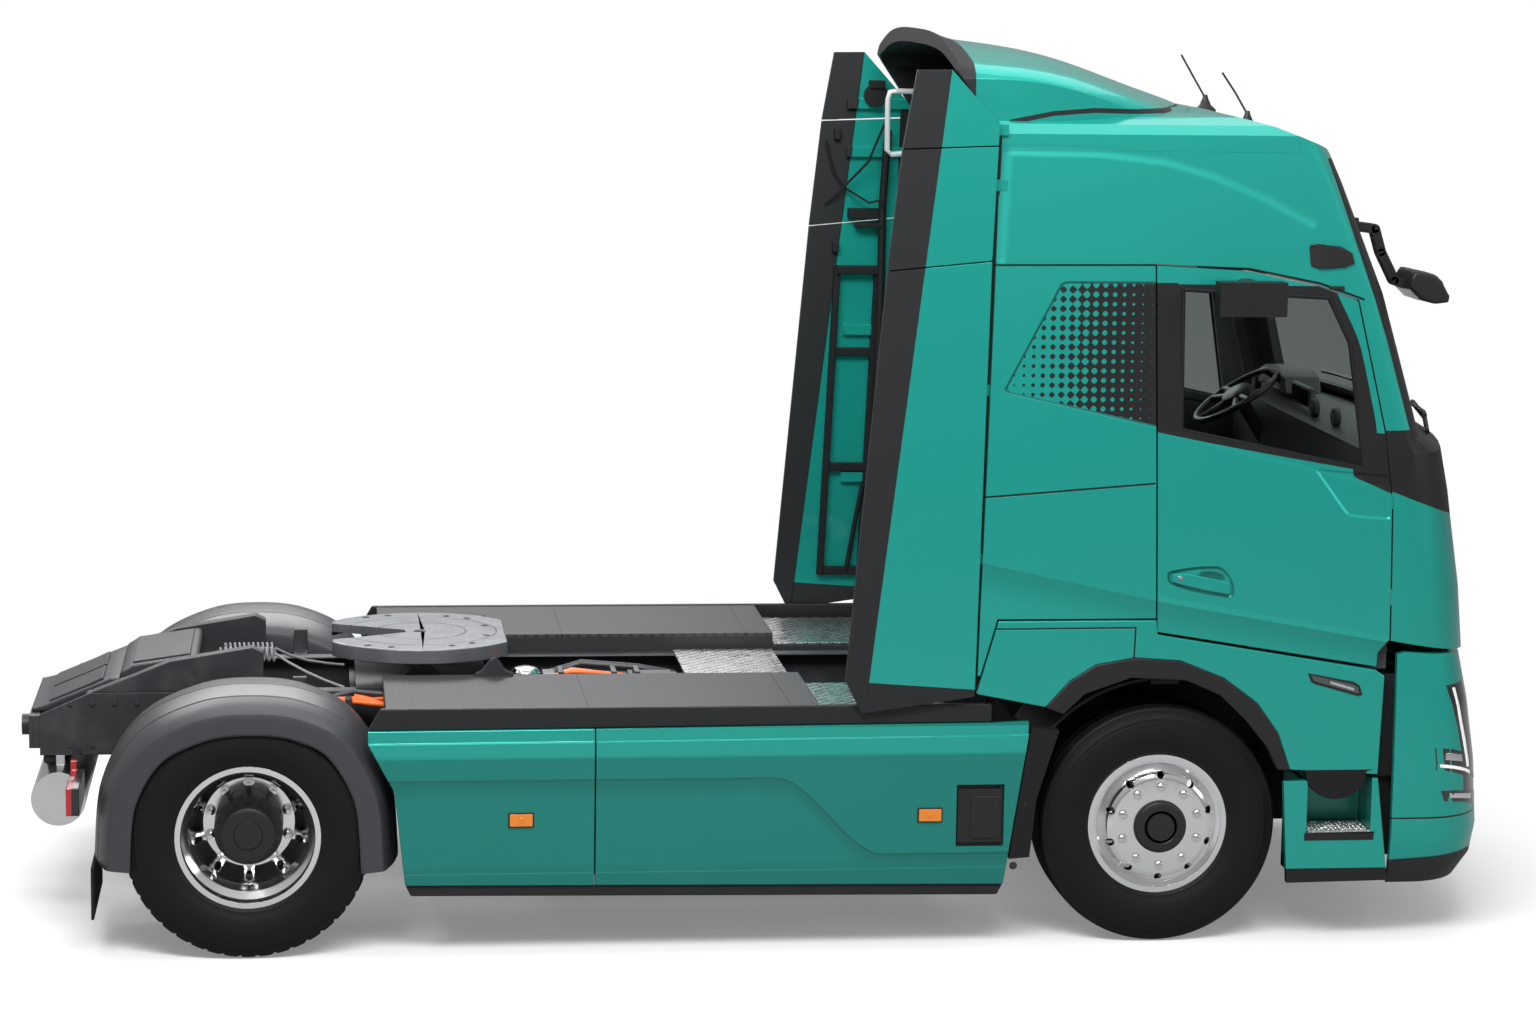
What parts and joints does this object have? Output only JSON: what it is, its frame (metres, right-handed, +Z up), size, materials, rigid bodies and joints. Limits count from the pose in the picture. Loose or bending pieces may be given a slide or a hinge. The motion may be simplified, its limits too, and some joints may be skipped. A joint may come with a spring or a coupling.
{
  "type": "semi truck tractor unit",
  "caption": "Two-axle battery-electric semi truck tractor unit with sleeper cab, fifth wheel, side skirts and cab-side air deflectors.",
  "frame": {"origin": "on the ground under the middle of the vehicle's overall length and width", "axes": "+X is the truck's forward direction, +Y its left side, +Z up"},
  "size_m": [6.3404, 2.88, 3.8],
  "materials": {
    "tyre_rubber": "matte",
    "polished_alloy": "polished",
    "chassis_paint": "satin",
    "black_rubber": "matte",
    "grey_casing": "satin",
    "tank_alloy": "brushed",
    "dark_trim": "matte",
    "tread_alloy": "patterned",
    "body_paint": "metallic gloss",
    "lamp_red": "gloss",
    "cast_plate": "greased",
    "clear_glass": "tinted",
    "cab_inner": "matte",
    "seat_cloth": "woven",
    "lamp_clear": "clear"
  },
  "bodies": {
    "chassis": {"frame_rails": "chassis_paint", "crossmembers": "chassis_paint", "frame_covers": "grey_casing", "frame_ramps": "chassis_paint", "front_beam": "chassis_paint", "front_axle_beam": "chassis_paint", "rear_axle": "chassis_paint", "suspension": "black_rubber", "battery_packs": "grey_casing", "air_tank": "tank_alloy", "side_decks": "dark_trim", "tread_plates": "tread_alloy", "side_skirts": "body_paint", "skirt_trims": "dark_trim", "charge_inlet": "dark_trim", "mudguards_rear": "dark_trim", "mudflaps": "black_rubber", "tail_lamps": "lamp_red", "fifth_wheel_base": "chassis_paint", "fenders": "body_paint", "arch_trims": "dark_trim", "wheel_arches": "dark_trim", "step_boxes": "dark_trim", "bumper": "body_paint", "headlamps": "lamp_clear"},
    "coupling": {"fifth_wheel_plate": "cast_plate"},
    "flap": {"charge_flap": "body_paint"},
    "steer_right": {"knuckle_right": "chassis_paint"},
    "steer_left": {"knuckle_left": "chassis_paint"},
    "track_rod": {"tie_rod": "chassis_paint"},
    "wheel_front_right": {"tyre_front_right": "tyre_rubber", "rim_front_right": "polished_alloy"},
    "wheel_front_left": {"tyre_front_left": "tyre_rubber", "rim_front_left": "polished_alloy"},
    "wheels_rear_right": {"tyres_rear_right": "tyre_rubber", "rims_rear_right": "polished_alloy"},
    "wheels_rear_left": {"tyres_rear_left": "tyre_rubber", "rims_rear_left": "polished_alloy"},
    "cab": {"cab_floor": "cab_inner", "cab_sides": "body_paint", "cab_rear_wall": "dark_trim", "cab_roof": "body_paint", "cab_front": "body_paint", "windscreen": "clear_glass", "side_deflectors": "body_paint", "roof_deflector": "body_paint", "seats": "seat_cloth", "bunk": "seat_cloth", "dashboard": "cab_inner", "steering_wheel": "cab_inner", "front_mirror": "dark_trim"},
    "door_r": {"door_right": "body_paint", "door_glass_right": "clear_glass"},
    "door_l": {"door_left": "body_paint", "door_glass_left": "clear_glass"}
  },
  "joints": [
    {"name": "wheel_front_right_turn", "type": "hinge", "parent": "steer_right", "child": "wheel_front_right", "pos_m": [1.60375, -1.034, 0.507], "axis": [0, 1, 0], "continuous": true},
    {"name": "wheel_front_left_turn", "type": "hinge", "parent": "steer_left", "child": "wheel_front_left", "pos_m": [1.60375, 1.034, 0.507], "axis": [0, 1, 0], "continuous": true},
    {"name": "wheels_rear_right_turn", "type": "hinge", "parent": "chassis", "child": "wheels_rear_right", "pos_m": [-2.19625, -0.904, 0.507], "axis": [0, 1, 0], "continuous": true},
    {"name": "wheels_rear_left_turn", "type": "hinge", "parent": "chassis", "child": "wheels_rear_left", "pos_m": [-2.19625, 0.904, 0.507], "axis": [0, 1, 0], "continuous": true},
    {"name": "steer_left_turn", "type": "hinge", "parent": "chassis", "child": "steer_left", "pos_m": [1.60375, 0.848, 0.507], "axis": [0, 0, 1], "range_deg": [-40, 40]},
    {"name": "steer_right_turn", "type": "hinge", "parent": "chassis", "child": "steer_right", "pos_m": [1.60375, -0.848, 0.507], "axis": [0, 0, 1], "range_deg": [-40, 40]},
    {"name": "track_rod_turn", "type": "hinge", "parent": "steer_left", "child": "track_rod", "pos_m": [1.39375, 0.848, 0.42], "axis": [0, 0, 1], "range_deg": [-40, 40]},
    {"name": "cab_tilt", "type": "hinge", "parent": "chassis", "child": "cab", "pos_m": [2.78375, 0, 0.9], "axis": [0, 1, 0], "range_deg": [0, 60]},
    {"name": "door_right_open", "type": "hinge", "parent": "cab", "child": "door_r", "pos_m": [2.55825, -1.2465, 1.305], "axis": [-0.0253, 0, 0.9997], "range_deg": [0, 75]},
    {"name": "door_left_open", "type": "hinge", "parent": "cab", "child": "door_l", "pos_m": [2.55825, 1.2465, 1.305], "axis": [0.0253, 0, -0.9997], "range_deg": [0, 75]},
    {"name": "coupling_pitch", "type": "hinge", "parent": "chassis", "child": "coupling", "pos_m": [-1.46325, 0, 1.058], "axis": [0, 1, 0], "range_deg": [-12, 12]},
    {"name": "charge_flap_open", "type": "hinge", "parent": "chassis", "child": "flap", "pos_m": [0.91675, -1.244, 0.5725], "axis": [0, 0, 1], "range_deg": [0, 100]}
  ],
  "couplings": [
    {"joint": "steer_right_turn", "follows": "steer_left_turn", "ratio": 1},
    {"joint": "track_rod_turn", "follows": "steer_left_turn", "ratio": -1}
  ]
}
